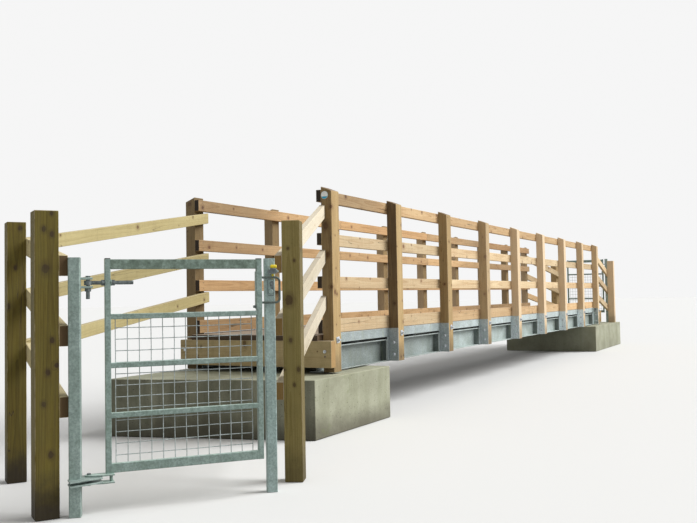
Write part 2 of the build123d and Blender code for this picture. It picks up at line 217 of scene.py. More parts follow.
cast_concrete, tree, place = finish_of("cast_concrete")
across, _, height = place.parts()
facing, _, upward = facing_in(tree)
cloud = place.noise(2.2, 5.0, 0.6)
grit = place.noise(90.0, 3.0, 0.7)
pore = put(tree, "ShaderNodeTexVoronoi", Vector=place, Scale=26.0).step(0.16, 0.08)
runs = place.stretch(7.0, 7.0, 0.7).noise(1.0, 4.0, 0.6)
damp = runs.step(0.44, 0.72) * (1.0 - upward.step(0.5, 0.9)) * 0.30
soil = (height + cloud * 0.25).step(0.36, 0.13) * across.step(-1.0, 1.0, 0.75, 0.15)
moss = place.noise(5.0, 6.0, 0.7).step(0.57, 0.66) * 0.22
# painted shade: the near block's face turned to the near end is darkened where it lies in the
# shade of the deck
painted_front_shade = facing.step(-0.5, -0.9) * across.step(0.0, -2.0) * runs.step(0.2, 0.6, 0.15, 0.45)
colour = coats(
    mixed(cloud.step(0.32, 0.68), (0.29, 0.292, 0.20), (0.445, 0.452, 0.33)),
    (grit.step(0.30, 0.75, 0.0, 0.35), (0.24, 0.23, 0.18)), (damp, (0.20, 0.21, 0.12)),
    (soil, (0.085, 0.075, 0.05)), (moss, (0.16, 0.20, 0.06)),
    (pore * 0.6, (0.12, 0.11, 0.09)), (painted_front_shade, (0.036, 0.034, 0.028)))
coated(tree, colour, grit.step(0.2, 0.8, 0.78, 0.96), grit * 0.5 - pore, 0.7, 0.004)


def blank():
    """Empty bmesh with what the materials read, and the kind of each face."""
    bm = bmesh.new()
    bm.faces.layers.int.new("kind")
    bm.verts.layers.float_vector.new("grain")
    for title in ("edge", "piece", "end", "stain"):
        bm.verts.layers.float.new(title)
    return bm


def round_off(bm, edges, radius, steps, material=0, wear_and_highlight=0.0, clamp=True):
    """Rounds edges, and marks what is rounded and how worn and highlighted it is."""
    made = bmesh.ops.bevel(bm, geom=list(edges), offset=radius, offset_type="OFFSET",
                           segments=steps, profile=0.5, affect="EDGES", clamp_overlap=clamp)
    kind, edge = bm.faces.layers.int["kind"], bm.verts.layers.float["edge"]
    for face in made["faces"]:
        face[kind], face.material_index = 1, material
    for vert in {v for f in made["faces"] for v in f.verts}:
        vert[edge] = wear_and_highlight * all(f[kind] == 1 for f in vert.link_faces)


def shaped(bm, name, *materials):
    """Object from a bmesh. Faces of kind 0 are flat, 1 are roundings, 2 are flat ends;
    a rounding takes the flat faces' direction where it meets them."""
    kind = bm.faces.layers.int["kind"]
    bm.normal_update()
    normals = []
    for face in bm.faces:
        for corner in face.loops:
            normal = face.normal
            if face[kind] == 1:
                flats = [f.normal for f in corner.vert.link_faces if f[kind] == 0]
                rounds = [f.normal for f in corner.vert.link_faces if f[kind] == 1]
                normal = sum(flats or rounds, Vector()).normalized()
            normals.append(normal[:])
    mesh = bpy.data.meshes.new(name)
    bm.to_mesh(mesh)
    bm.free()
    mesh.polygons.foreach_set("use_smooth", [True] * len(mesh.polygons))
    mesh.normals_split_custom_set(normals)
    for material in materials:
        mesh.materials.append(material)
    made = bpy.data.objects.new(name, mesh)
    bpy.context.scene.collection.objects.link(made)
    return made


def rides(piece, body):
    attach(piece, body)


def stands_for(piece, node):
    """piece takes a CAD node's place, on the node's own body."""
    rides(piece, nodes[node]["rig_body"])
    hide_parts(node)


def merged(bm, node):
    """Adds a CAD node's mesh to a bmesh, with its loose triangles joined up."""
    bm.from_mesh(nodes[node].data)
    bmesh.ops.remove_doubles(bm, verts=bm.verts, dist=1e-5)


def eased(node, ending, edge, material, seed=0, stains=(), near_only=False):
    """Copy of a CAD node with its outer edges rounded, in the node's place."""
    bm = blank()
    merged(bm, node)
    bmesh.ops.dissolve_limit(bm, angle_limit=radians(1), verts=bm.verts, edges=bm.edges)
    sharp = [e for e in bm.edges if e.is_convex and e.calc_face_angle(0) > radians(25)]
    round_off(bm, sharp, edge, 2, wear_and_highlight=1.0)
    if seed:
        give_grain(bm, seed, stains, near_only)
    stands_for(shaped(bm, node + ending, material), node)


for node in ("near_abutment", "far_abutment"):
    eased(node, "_block", 0.008, cast_concrete)


# Bearing pads: black rubber pads between the abutments and the beams, cut from plain
# sheet. Their edges are cut square, and dust dulls them.

black_rubber, tree, place = finish_of("black_rubber")
dust = place.noise(45.0, 4.0, 0.6)
coated(tree, mixed(dust.step(0.4, 0.75), (0.02, 0.02, 0.02), (0.10, 0.09, 0.075)),
       dust.step(0.2, 0.8, 0.65, 0.92), dust, 0.4, 0.001)
eased("bearing_pads", "_rubber", 0.0015, black_rubber)


# Steel of the bridge: rolled beams with welded stiffeners, folded edge channels, angle
# brackets at the posts and cross bearers, all dipped in zinc after welding: pale
# blue-grey, clouded, with a fine spangle, darker runs below the timber and pale edges
# that are partly wear and partly painted highlight. Painted shade darkens it towards the
# near end of the bridge and on faces turned to that end, and painted light brightens
# level faces where asked.

zinc_coat, given = group("zinc_coat", "Shader", Vector="place",
                         Float="edge stained size dull", Color="tint cloud stain")
cloud = given.place.noise(given.size, 5.0, 0.62)
spangle = put(zinc_coat, "ShaderNodeTexVoronoi", Vector=given.place, Scale=75.0, get=1)
spangle = put(zinc_coat, "ShaderNodeSeparateColor", spangle)
speck = given.place.noise(240.0, 3.0, 0.7)
mottle = given.place.noise(85.0, 4.0, 0.7)
runs = given.place.stretch(28.0, 28.0, 2.5).noise(1.0, 4.0, 0.6)
flake = spangle.step(0.0, 1.0, 0.93, 1.07) * mottle.step(0.34, 0.66, 0.80, 1.16)
stain = runs.step(0.52, 0.74) * given.stained
colour = mixed(cloud.step(0.34, 0.66), given.tint, given.cloud)
# the colour is scaled by painted shade and painted light passed in from zinc()
colour = coats(
    scaled(colour, flake * given.dull), (stain, given.stain),
    (speck.step(0.60, 0.78, 0.0, 0.40), given.stain),
    # pale edges: partly edge wear, partly painted highlight
    (given.edge * speck.step(0.3, 0.6, 0.35, 0.9), (0.80, 0.84, 0.84)))
gives(zinc_coat, colour=colour, rough=cloud.step(0.3, 0.7, 0.40, 0.56) + stain * 0.2,
      relief=spangle * 0.25 + cloud)


def stored(tree, title, get=2):
    """A number of the mesh's own, or with get=1 a vector."""
    return put(tree, "ShaderNodeAttribute", attribute_name=title, get=get)


def zinc(name, tint, cloud, stain, stained, size, metallic=0.25, near_end=1.0,
         near_reach=-0.6, near_faces=1.0, tops=1.0):
    """Zinc coat; near_end is how bright it is at the near end of the bridge, as far as
    near_reach, near_faces how bright the faces turned to that end are, and tops how
    bright the level faces: these paint shade and light into the colour."""
    made, tree, place = finish_of(name)
    facing, _, upward = facing_in(tree)
    # darker at the near end and on faces turned to it, lighter on level faces where tops is
    # over 1: painted shade and painted light
    dull = place.parts()[0].step(-3.6, near_reach, near_end, 1.0)
    dull = dull * facing.step(-0.9, -0.5, near_faces, 1.0) * upward.step(0.5, 0.9, 1.0, tops)
    coat = placed(tree, zinc_coat, place=place, dull=dull, edge=stored(tree, "edge"),
                  tint=tint, cloud=cloud, stain=stain, stained=stained, size=size)
    shader = coated(tree, coat.colour, coat.rough, coat.relief, 0.35, 0.0012)
    shader.inputs["Metallic"].default_value = metallic
    return made


# bridge_zinc is darker at the near end, partly stain and partly painted shade. web_zinc is a
# darker copy, painted shade of the webs recessed under the flanges, and darker still on faces
# turned to the near end, painted shade of the stiffeners. bracket_zinc is a much paler copy,
# painted sunlight, darkened towards the near end with painted shade.
bridge_zinc = zinc("bridge_zinc", (0.44, 0.51, 0.50), (0.55, 0.63, 0.64),
                   (0.36, 0.41, 0.27), 0.45, 6.0, near_end=0.66)
web_zinc = zinc("web_zinc", (0.35, 0.41, 0.38), (0.46, 0.53, 0.52),
                (0.26, 0.30, 0.20), 0.45, 6.0, near_end=0.55, near_faces=0.42)
bracket_zinc = zinc("bracket_zinc", (0.78, 0.90, 0.92), (0.88, 0.97, 1.0),
                    (0.24, 0.26, 0.21), 0.45, 9.0, near_end=0.42, near_reach=5.0)
for kind, radius, coat in (("main_beam", 0.0025, web_zinc),
                           ("edge_channel", 0.002, bridge_zinc),
                           ("post_brackets", 0.0015, bracket_zinc)):
    for hand in ("left_", "right_"):
        eased(hand + kind, "_zinc", radius, coat)
eased("beam_diaphragms", "_zinc", 0.0015, bridge_zinc)
eased("deck_cross_bearers", "_zinc", 0.002, bridge_zinc)


# Timber end beams: a heavy sawn timber bolted across each end of the bridge, treated
# green-brown. Its end grain shows beside the first posts.

def xyz(*values):
    tree = next(value.tree for value in values if isinstance(value, Reading))
    return put(tree, "ShaderNodeCombineXYZ", *values)


KNOT_EVERY = 0.24
sawn_timber, given = group("sawn_timber", "Shader", Vector="grain pith",
                           Float="piece ring knots contrast warm", Color="pale band knot")
place = given.grain.vector("ADD", scaled((7.1, 3.3, 23.0), given.piece))
sway = place.stretch(2.0, 2.0, 0.42).noise(1.0, 2.0, 0.5, get=1)
sway = sway.vector("MULTIPLY_ADD", (0.07, 0.07, 0.0), (-0.035, -0.035, 0.0))
heart = given.grain.vector("ADD", sway).vector("SUBTRACT", given.pith).stretch(1.0, 1.0, 0.0)
reach = heart.vector("LENGTH", get=1)
wide, thick, _ = heart.parts()
turn = thick.math("ARCTAN2", wide) * 1.1 + given.piece * 31.0
length = place.parts()[2] / KNOT_EVERY
cell = put(sawn_timber, "ShaderNodeTexVoronoi", xyz(turn, length), voronoi_dimensions="2D",
           Scale=1.0, Randomness=0.9, get=1)
chance = put(sawn_timber, "ShaderNodeSeparateColor", cell)
spot_turn, spot_length, _ = cell["Position"].parts()
away = xyz((turn - spot_turn) * reach, (length - spot_length) * KNOT_EVERY)
away = away.vector("LENGTH", get=1) / (chance.math("POWER", 3.0) * 0.018 + 0.0045)
there = chance[1].math("LESS_THAN", given.knots)
knot, halo = there * away.step(1.12, 0.85), there * away.step(3.2, 0.9)
fibre = place.stretch(330.0, 330.0, 7.0).noise(1.0, 3.0, 0.65)
broad = place.stretch(9.0, 9.0, 1.3).noise(1.0, 3.0, 0.55)
ring = (reach - halo * 0.012 + broad * 0.012) / given.ring
ring = ring.math("FRACT").math("POWER", 2.2)
drawn = (ring * 0.55 + (fibre * 0.9 - 0.45)) * given.contrast + (broad * 1.4 - 0.48)
colour = mixed(put(sawn_timber, "ShaderNodeClamp", drawn), given.pale, given.band)
tone = put(sawn_timber, "ShaderNodeTexWhiteNoise", W=given.piece, noise_dimensions="1D")
hue = put(sawn_timber, "ShaderNodeSeparateColor", tone["Color"], get=1)
colour = mixed(hue.step(0.35, 1.0) * given.warm, colour, colour.stretch(0.98, 0.74, 0.52))
split = (place.stretch(16.0, 16.0, 0.55).noise(1.0, 1.0, 0.4) - 0.5).math("ABSOLUTE")
split = split.step(0.0042, 0.0018) * broad.step(0.50, 0.60)
colour = coats(
    scaled(colour, tone.step(0.0, 1.0, 0.84, 1.14)), (halo * 0.38, given.knot),
    (knot * 0.82, given.knot), (split * 0.75, (0.05, 0.032, 0.016)))
gives(sawn_timber, colour=colour, pores=fibre,
      relief=fibre * 0.55 + ring * 0.30 - split * 2.5 - knot * 0.5)

# Weathering: stain, fading, bleaching, runs, algae, rubbed edges and soil. near darkens faces
# turned to the near end, and near_end, far_end and right_side darken the ends of the bridge
# and faces turned to the right: painted shade.
weathered, given = group(
    "weathered", "Shader", Color="colour end_tint",
    Float="edge end stain ground soil algae bleach near near_end far_end right_side")
place = put(weathered, "ShaderNodeTexCoord", get=3)
along, _, height = place.parts()
facing, aside, upward = facing_in(weathered)
blotch = place.noise(7.0, 5.0, 0.65)
runs = place.stretch(26.0, 26.0, 1.6).noise(1.0, 4.0, 0.6)
faded = (given.stain * -1.0).math("MAXIMUM", 0.0)
stain = given.stain.math("MAXIMUM", 0.0) * runs.step(0.25, 0.6, 0.75, 1.0)
flecks = place.noise(130.0, 3.0, 0.6).step(0.60, 0.70) * 0.38
dirt = (height - given.ground - blotch * 0.22).step(0.16, -0.06) * given.soil
colour = coats(
    given.colour, (given.end * 0.97, given.end_tint),
    # painted shade on faces turned to the near end, as much as near
    (facing.step(-0.5, -0.9) * given.near, (0.034, 0.022, 0.013)),
    (faded, (0.86, 0.66, 0.43)), (stain, (0.060, 0.034, 0.016)),
    (upward.step(0.3, 0.9) * given.bleach, (0.50, 0.44, 0.36)),
    (flecks, (0.070, 0.040, 0.018)), (runs.step(0.45, 0.75) * 0.13, (0.16, 0.115, 0.065)),
    (blotch.step(0.42, 0.62) * given.algae, (0.13, 0.13, 0.035)),
    (given.edge * blotch.step(0.40, 0.62, 0.0, 0.6), (0.72, 0.58, 0.40)),
    (dirt, (0.026, 0.019, 0.010)))
# painted shade towards the near end, the far end and on faces turned to the right
shade = along.step(-3.9, -3.0, given.near_end, 1.0) * along.step(1.6, 3.4, 1.0, given.far_end)
shade = shade * aside.step(-0.5, -0.9, 1.0, given.right_side)
gives(weathered, colour=scaled(colour, shade))

known_knot, given = group("known_knot", "Shader", Color="colour knot",
                          Vector="place centre", Float="size")
away = given.place.vector("SUBTRACT", given.centre).stretch(1.0, 1.0, 0.72)
away = away.vector("LENGTH", get=1) / given.size
away = away + (given.place.noise(70.0, 3.0, 0.6) * 0.9 - 0.45)
heart = (away * 3.0).math("FRACT").step(0.2, 0.9, 0.6, 0.9) * away.step(1.15, 0.85)
gives(known_knot, colour=coats(
    given.colour, (away.step(2.6, 0.9, 0.0, 0.45), given.knot), (heart, given.knot)))


def timber(name, pale, band, knot, ring=0.007, pith=(0.012, -0.075, 0.0), knots=0.5,
           contrast=1.0, warm=0.0, known=(), **weather):
    """Sawn timber: lengths along its own grain, from the mesh, and what the weather does,
    with painted shade where weather gives near, near_end, far_end or right_side.
    known: knots at places of their own, each x, y, z and radius."""
    made, tree, place = finish_of(name)
    wood = placed(tree, sawn_timber, grain=stored(tree, "grain", 1),
                  piece=stored(tree, "piece"), pale=pale, band=band, knot=knot, ring=ring,
                  pith=pith, knots=knots, contrast=contrast, warm=warm)
    colour = wood.colour
    for *centre, size in known:
        colour = placed(tree, known_knot, colour=colour, place=place, centre=centre,
                        size=size, knot=knot).colour
    usual = {"bleach": 0.25, "end_tint": (0.13, 0.065, 0.030), "near_end": 1.0,
             "far_end": 1.0, "right_side": 1.0}
    usual.update({title: stored(tree, title) for title in ("edge", "end", "stain")})
    old = placed(tree, weathered, colour=colour, **{**usual, **weather})
    shader = coated(tree, old.colour, wood.pores.step(0.2, 0.8, 0.62, 0.86), wood.relief,
                    0.55, 0.0016)
    shader.inputs["Specular IOR Level"].default_value = 0.3
    return made


def onward(way):
    """Turns a direction so that its largest part points onwards."""
    return -way if way[max(range(3), key=lambda i: abs(way[i]))] < 0 else way


def once(things):
    """Each of them once, in the order met, so that every run makes the same mesh."""
    return list(dict.fromkeys(things))


def lengths_in(bm):
    """Each loose piece: its points, its middle, and its directions along, wide and thick."""
    left = dict.fromkeys(bm.verts)
    while left:
        found = [min(left, key=lambda v: tuple(round(c, 4) for c in v.co))]
        del left[found[0]]
        for vert in found:
            for other in (edge.other_vert(vert) for edge in vert.link_edges):
                if other in left:
                    del left[other]
                    found.append(other)
        runs = once(e for v in found for e in v.link_edges)
        along = max(runs, key=lambda e: round(e.calc_length(), 4))
        along = onward((along.verts[1].co - along.verts[0].co).normalized())
        level = [e.verts[1].co - e.verts[0].co for e in runs]
        level = [d for d in level if abs(d.normalized().dot(along)) < 0.4]
        wide = max(level, key=lambda d: round(d.length, 4)) if level else along.orthogonal()
        wide = onward((wide - wide.dot(along) * along).normalized())
        middle = sum((v.co for v in found), Vector()) / len(found)
        yield found, middle, along, wide, along.cross(wide)


def give_grain(bm, seed, stains, near_only):
    """Stores on each loose piece where its points lie along and across its own length,
    a number of its own, which faces are its sawn ends, and how stained its near face is
    or, below nought, how faded all of it is. On the parapet posts these numbers carry
    painted shade and painted sunlight as well as stain."""
    grain, kind = bm.verts.layers.float_vector["grain"], bm.faces.layers.int["kind"]
    piece, end, stain = (bm.verts.layers.float[title] for title in ("piece", "end", "stain"))
    for n, (found, middle, along, wide, thick) in enumerate(lengths_in(bm)):
        for vert in found:
            at = vert.co - middle
            vert[grain] = (at.dot(wide), at.dot(thick), at.dot(along))
            vert[piece] = (seed * 0.37 + (n + 1) * 0.618034) % 1
            flat = [f.normal for f in vert.link_faces if f[kind] == 0]
            vert[end] = float(any(abs(f.dot(along)) > 0.7 for f in flat))
            near_face = any(f.x < -0.7 for f in flat)
            if stains and (near_face or (stains[n] < 0 and not near_only)):
                vert[stain] = stains[n]


beam_timber = timber("beam_timber", (0.50, 0.40, 0.22), (0.35, 0.262, 0.135),
                     (0.12, 0.07, 0.03), ring=0.009, pith=(0.0, 0.01, 0.0), knots=0.4,
                     algae=0.15, bleach=0.35, end_tint=(0.44, 0.27, 0.11))
for n, node in enumerate(("near_end_beam", "far_end_beam")):
    eased(node, "_timber", 0.004, beam_timber, 11 + n)


# Deck: sawn boards laid across the bridge with gaps between them, screwed down on both
# sides. Each board is its own length of larch, more worn than the parapets.

def grown(name, built, spots, *values, at=Matrix()):
    """Runs a geometry tree on spots, each a point and the way it faces, with values for
    its inputs in order, and returns the plain mesh object that it makes."""
    mesh = bpy.data.meshes.new(name + "_points")
    mesh.from_pydata([tuple(point) for point, _ in spots], [], [])
    facing = mesh.attributes.new("facing", "FLOAT_VECTOR", "POINT")
    facing.data.foreach_set("vector", [c for _, way in spots for c in way])
    holder = bpy.data.objects.new(name + "_points", mesh)
    bpy.context.scene.collection.objects.link(holder)
    modifier = holder.modifiers.new("grow", "NODES")
    modifier.node_group = built
    inputs = [item for item in built.interface.items_tree if item.in_out == "INPUT"]
    for item, value in zip(inputs[1:], values):
        modifier[item.identifier] = value
    graph = bpy.context.evaluated_depsgraph_get()
    result = bpy.data.meshes.new_from_object(holder.evaluated_get(graph))
    holder.modifiers.clear()
    bpy.data.objects.remove(holder)
    result.transform(at)
    result.name = name
    made = bpy.data.objects.new(name, result)
    bpy.context.scene.collection.objects.link(made)
    return made


def realized(tree, points, shape, material, **more):
    """Sets a shape on points and makes it real, in its material."""
    made = put(tree, "GeometryNodeInstanceOnPoints", points, Instance=shape, **more)
    made = put(tree, "GeometryNodeRealizeInstances", made)
    gives(tree, geometry=put(tree, "GeometryNodeSetMaterial", made, Material=material))


# near darkens the board edges turned to the near end, in the gaps: painted shade
deck_timber = timber("deck_timber", (0.32, 0.225, 0.15), (0.19, 0.125, 0.08),
                     (0.10, 0.05, 0.025), knots=0.45, contrast=1.2, bleach=0.45, near=0.78)
BOARDS, BOARD_GAP, BOARD_EASING = 72, 0.008, 0.003
HERE = [((0, 0, 0), (0, 0, 1))]
low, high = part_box("deck")
pitch = (high.x - low.x + BOARD_GAP) / BOARDS
boards, given = group("boards", "Geometry", Geometry="points", Int="count seed",
                      Float="pitch width thickness length easing", Material="material")
section = put(boards, "GeometryNodeCurvePrimitiveQuadrilateral", Width=given.width,
              Height=given.thickness)
section = put(boards, "GeometryNodeFilletCurve", Curve=section, mode="POLY", Count=2,
              Radius=given.easing)
half = given.length * 0.5
run = put(boards, "GeometryNodeCurvePrimitiveLine", Start=xyz(0.0, 0.0, half * -1.0),
          End=xyz(0.0, 0.0, half))
board = put(boards, "GeometryNodeCurveToMesh", run, section, Fill_Caps=True)
board = put(boards, "GeometryNodeStoreNamedAttribute", Geometry=board, Name="grain",
            data_type="FLOAT_VECTOR", domain="POINT",
            Value=put(boards, "GeometryNodeInputPosition"))
board = put(boards, "GeometryNodeTransform", board, Rotation=(pi / 2, 0.0, 0.0))
line = put(boards, "GeometryNodeMeshLine", Count=given.count, Offset=xyz(given.pitch))
number = put(boards, "FunctionNodeRandomValue", data_type="FLOAT", Seed=given.seed, get=1)
line = put(boards, "GeometryNodeStoreNamedAttribute", Geometry=line, Name="piece",
           data_type="FLOAT", domain="POINT", Value=number)
realized(boards, line, board, given.material)
at = Matrix.Translation((low.x + (pitch - BOARD_GAP) / 2, (low.y + high.y) / 2,
                         (low.z + high.z) / 2))
stands_for(grown("deck_boards", boards, HERE, BOARDS, 5, pitch, pitch - BOARD_GAP,
                 high.z - low.z, high.y - low.y, BOARD_EASING, deck_timber, at=at),
           "deck")


# Parapet posts: larch posts outside the deck, their tops sawn to shed the rain outwards,
# each bolted through to the steel below. Warm brown, with knots, and darker where the rain
# runs. The near faces of the nearer posts are darker and the farther posts paler, partly
# stain and partly painted shade and sunlight; the left posts also darken at the near end
# with painted shade.

post_timber = timber("post_timber", (0.56, 0.40, 0.19), (0.36, 0.23, 0.095),
                     (0.13, 0.055, 0.022), ring=0.008, pith=(0.02, 0.015, 0.0),
                     contrast=1.15, ground=0.46, soil=0.5, bleach=0.15, known=(
                         (-4.664, -0.350, 1.683, 0.022), (-4.664, -0.369, 1.443, 0.015),
                         (-4.628, -0.409, 1.133, 0.013)))
inner_post = timber("inner_post", (0.29, 0.200, 0.088), (0.180, 0.114, 0.045),
                    (0.10, 0.045, 0.02), ring=0.008, pith=(0.02, 0.015, 0.0),
                    ground=0.42, soil=0.3, bleach=0.15, near_end=0.72)
# stain on the near faces of the nearer right posts, fading of the farther ones and of the left
# posts: partly the wood's own, partly painted shade and sunlight
POST_STAINS_AND_SHADE = (0.50, 0.86, 0.26, -0.28, -0.85, -0.95, -0.95, -0.72, -0.55)
INNER_FADES_AND_SUN = (-0.14, -0.26, -0.35, -0.45, -0.65, -0.65, -0.50, -0.30, -0.65)
eased("left_parapet_posts", "_timber", 0.004, inner_post, 21,
      INNER_FADES_AND_SUN, near_only=True)
eased("right_parapet_posts", "_timber", 0.004, post_timber, 22,
      POST_STAINS_AND_SHADE)


# Parapet rails: four rows of sawn larch on the walkway side of the posts, butted at every
# second post, the lowest one wider. Fresh orange-brown, each length with its own shade.
# Painted shade darkens the right top rail and all the left rails towards the near end,
# and the left rails towards the far end too.

RAIL_END = (0.014, 0.008, 0.0045)
rail_timber = timber("rail_timber", (0.76, 0.61, 0.385), (0.56, 0.385, 0.21),
                     (0.20, 0.09, 0.04), ring=0.006, knots=0.4, contrast=1.1, bleach=0.2,
                     warm=0.55, end_tint=RAIL_END)
orange_rail = timber("orange_rail", (0.66, 0.47, 0.255), (0.45, 0.27, 0.125),
                     (0.15, 0.06, 0.025), ring=0.006, contrast=1.2, bleach=0.2,
                     warm=0.6, end_tint=RAIL_END, near_end=0.60)
# near_end and far_end: painted shade at the ends of the bridge
for n, (row, near_end) in enumerate((("top_rail", 0.50), ("upper_rail", 0.68),
                                     ("lower_rail", 0.85), ("kick_rail", 0.73))):
    left_timber = timber("left_" + row, (0.68, 0.46, 0.24), (0.46, 0.275, 0.125),
                         (0.18, 0.075, 0.035), ring=0.006, knots=0.45, contrast=1.1,
                         bleach=0.2, warm=0.5, end_tint=RAIL_END, near_end=near_end,
                         far_end=0.62)
    for m, (hand, wood) in enumerate((("left_", left_timber),
                                      ("right_", rail_timber if n else orange_rail))):
        eased(hand + row, "_timber", 0.003, wood, 31 + 2 * n + m)


# Approach posts: square posts set in the ground at the wings, pressure treated: olive
# brown, with dark knots and drying splits, dirty at the foot.

POST_WOOD = {"ring": 0.008, "pith": (0.01, 0.008, 0.0), "bleach": 0.1,
             "end_tint": (0.20, 0.14, 0.06)}
olive_post = timber("olive_post", (0.140, 0.108, 0.018), (0.076, 0.055, 0.009),
                    (0.030, 0.015, 0.008), knots=0.15, contrast=1.3, soil=0.95, algae=0.12,
                    known=((-7.727, -0.402, 1.464, 0.010), (-7.695, -0.423, 1.439, 0.010),
                           (-7.720, -0.4065, 1.263, 0.017), (-7.695, -0.4235, 1.546, 0.008),
                           (-7.694, -0.424, 0.899, 0.010), (-7.713, -0.4116, 0.737, 0.011),
                           (-7.730, -0.400, 0.579, 0.010), (-7.702, -0.4185, 0.324, 0.012),
                           (-7.1265, 0.437, 1.550, 0.011), (-7.150, 0.453, 1.307, 0.010),
                           (-7.187, 0.478, 1.072, 0.014)), **POST_WOOD)
# side_post is darkened all over and more on its faces turned to the right (right_side):
# painted shade
side_post = timber("side_post", (0.37, 0.29, 0.105), (0.25, 0.19, 0.058),
                   (0.070, 0.035, 0.016), knots=0.15, contrast=1.2, soil=0.45, algae=0.12,
                   right_side=0.50,
                   known=((-6.479, -1.092, 1.080, 0.022), (-6.477, -1.097, 0.840, 0.010),
                          (-6.461, -1.139, 0.665, 0.010), (-6.470, -1.114, 0.575, 0.008),
                          (-6.480, -1.089, 1.389, 0.007), (-6.467, -1.124, 1.316, 0.007)),
                   **POST_WOOD)
far_post = timber("far_post", (0.54, 0.38, 0.19), (0.37, 0.24, 0.11), (0.12, 0.06, 0.03),
                  ground=0.46, soil=0.4, **POST_WOOD)
for n, (node, wood, stains) in enumerate((
    ("near_right_wing", side_post, ()), ("near_left_gate_side", olive_post, ()),
    ("near_left_middle", olive_post, ()), ("far_right_wing", far_post, (-0.9,)),
    ("far_left_wing", far_post, ()),
)):
    eased(node + "_post", "_timber", 0.004, wood, 41 + n, stains)


# Approach rails: three sloping rails on each wing, nailed to the posts: new pale sawn
# softwood on the right, straw yellow on the left, browner at the far end.

cream_rail = timber("cream_rail", (0.73, 0.655, 0.515), (0.61, 0.52, 0.36),
                    (0.32, 0.19, 0.10), knots=0.3, contrast=0.6, bleach=0.1,
                    end_tint=(0.29, 0.17, 0.05))
side_rail = timber("side_rail", (0.84, 0.73, 0.42), (0.64, 0.52, 0.26),
                   (0.13, 0.07, 0.03), knots=0.45, contrast=0.8, bleach=0.2,
                   end_tint=(0.090, 0.050, 0.018))
straw_rail = timber("straw_rail", (0.50, 0.425, 0.21), (0.365, 0.29, 0.125),
                    (0.13, 0.07, 0.03), knots=0.45, contrast=0.8, bleach=0.2)
for n, (node, wood) in enumerate((
    ("near_right_wing_rails", cream_rail), ("near_left_wing_rails", straw_rail),
    ("near_left_gate_side_rails", side_rail), ("far_right_wing_rails", rail_timber),
    ("far_left_wing_rails", rail_timber),
)):
    eased(node, "_timber", 0.003, wood, 51 + n)


# Bolts and nails: zinc-plated bolts with square washers through each parapet post,
# dome-headed bolts in the brackets, bolts through the end beams, round wire nails in the
# rails, and a steel plate behind each end post.

def bar(bm, frame, low, high, way=None, radius=0.003, material=0, steps=3, wear_and_highlight=0.6):
    """Square bar between two corners, all its edges rounded, or those along axis way."""
    kind = bm.faces.layers.int["kind"]
    verts = [bm.verts.new(frame @ Vector((x, y, z))) for x in (low[0], high[0])
             for y in (low[1], high[1]) for z in (low[2], high[2])]
    edges = []
    for n, corners in enumerate(((0, 1, 3, 2), (4, 6, 7, 5), (0, 4, 5, 1), (2, 3, 7, 6),
                                 (0, 2, 6, 4), (1, 5, 7, 3))):
        face = bm.faces.new([verts[c] for c in corners])
        face[kind], face.material_index = (2 if n // 2 == way else 0), material
        edges += face.edges
    edges = [e for e in once(edges) if all(f[kind] != 2 for f in e.link_faces)]
    round_off(bm, edges, radius, steps, material, wear_and_highlight)


plated = zinc("plated_bolts", (0.50, 0.54, 0.58), (0.62, 0.66, 0.70), (0.33, 0.34, 0.33),
              0.3, 40.0, metallic=0.6)
nail_steel = zinc("nail_steel", (0.16, 0.14, 0.12), (0.24, 0.21, 0.18), (0.10, 0.06, 0.04),
                  0.4, 60.0, metallic=0.5)
bolts, given = group("bolts", "Geometry", Geometry="points", Float="washer thickness",
                     Material="material", Int="seed sides", Vector="head stud")
head_r, head_top, head_high = given.head.parts()
stud_r, stud_out, _ = given.stud.parts()
washer = put(bolts, "GeometryNodeMeshCube", xyz(given.washer, given.washer, given.thickness))
head = put(bolts, "GeometryNodeMeshCone", Vertices=given.sides, Side_Segments=2,
           Radius_Top=head_top, Radius_Bottom=head_r, Depth=head_high)
stud = put(bolts, "GeometryNodeMeshCylinder", Vertices=12, Radius=stud_r, Depth=stud_out)
bolt = put(bolts, "GeometryNodeJoinGeometry")
for part, up in ((washer, given.thickness * 0.5), (head, given.thickness),
                 (stud, stud_out * 0.5)):
    join(bolt.socket.node.inputs[0],
         put(bolts, "GeometryNodeTransform", part, Translation=xyz(0.0, 0.0, up)))
facing = put(bolts, "GeometryNodeInputNamedAttribute", Name="facing",
             data_type="FLOAT_VECTOR")
turn = put(bolts, "FunctionNodeAlignRotationToVector", Vector=facing, axis="Z")
spin = put(bolts, "FunctionNodeRandomValue", data_type="FLOAT", Min=-0.12, Max=0.12,
           Seed=given.seed, get=1)
spin = put(bolts, "FunctionNodeAxisAngleToRotation", Angle=spin)
turn = put(bolts, "FunctionNodeRotateRotation", turn, spin, rotation_space="LOCAL")
realized(bolts, given.points, bolt, given.material, Rotation=turn)

posts_low, posts_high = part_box("right_parapet_posts")
left_low, left_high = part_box("left_parapet_posts")
beam_low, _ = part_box("near_end_beam")
_, far_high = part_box("far_end_beam")
deck_low, deck_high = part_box("deck")
POSTS = [posts_low.x + start for start in (0, 1.3, 2.65, 4.0, 5.35, 6.7, 8.05, 9.4, 10.7)]
POST_DEPTH = 0.13
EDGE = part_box("right_edge_channel")[1].z
RIGHT, LEFT = Vector((0, -1, 0)), Vector((0, 1, 0))
NEAR, FAR, UP = Vector((-1, 0, 0)), Vector((1, 0, 0)), Vector((0, 0, 1))


def across_beams(aside, down):
    return [((x, y, EDGE - down), way) for x, way in ((beam_low.x, NEAR), (far_high.x, FAR))
            for y in (posts_low.y + aside, left_high.y - aside)]


